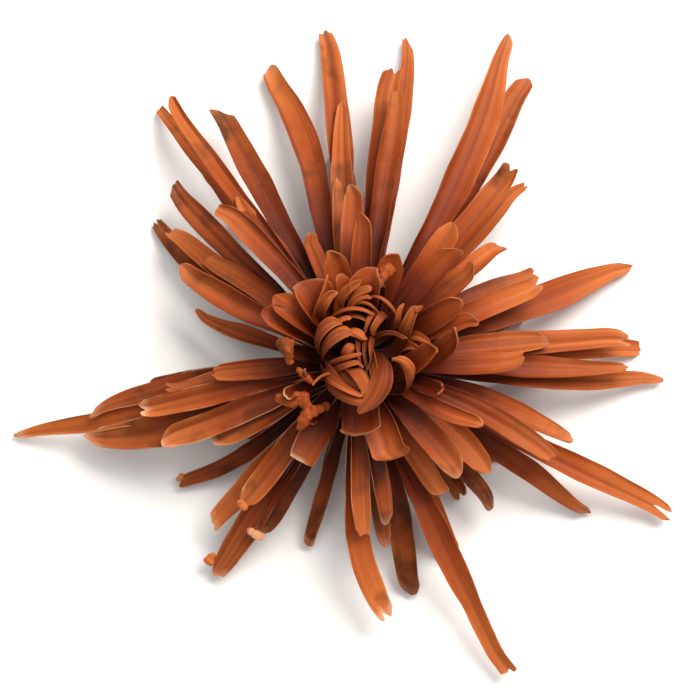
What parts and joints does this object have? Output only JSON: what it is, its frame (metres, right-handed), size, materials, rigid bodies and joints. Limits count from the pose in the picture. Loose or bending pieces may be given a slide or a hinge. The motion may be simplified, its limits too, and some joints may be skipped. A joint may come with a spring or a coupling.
{
  "type": "spider chrysanthemum",
  "caption": "Cut spider chrysanthemum head, long bronze ray florets round a curled centre, lying face up on its short stem.",
  "frame": {"origin": "middle of the bounding box, on the surface that the head lies on", "axes": "+Z along the flower's axis, out of its face; +X and +Y across the head, as the picture's right and up"},
  "size_m": [0.1324, 0.1326, 0.0328],
  "materials": {
    "bronze_floret": "soft satin petal",
    "tan_floret": "soft satin petal",
    "olive_bract": "dry matt leaf"
  },
  "bodies": {
    "root": {"ray_florets": "bronze_floret", "centre_florets": "tan_floret", "stem_and_bracts": "olive_bract"}
  },
  "joints": []
}
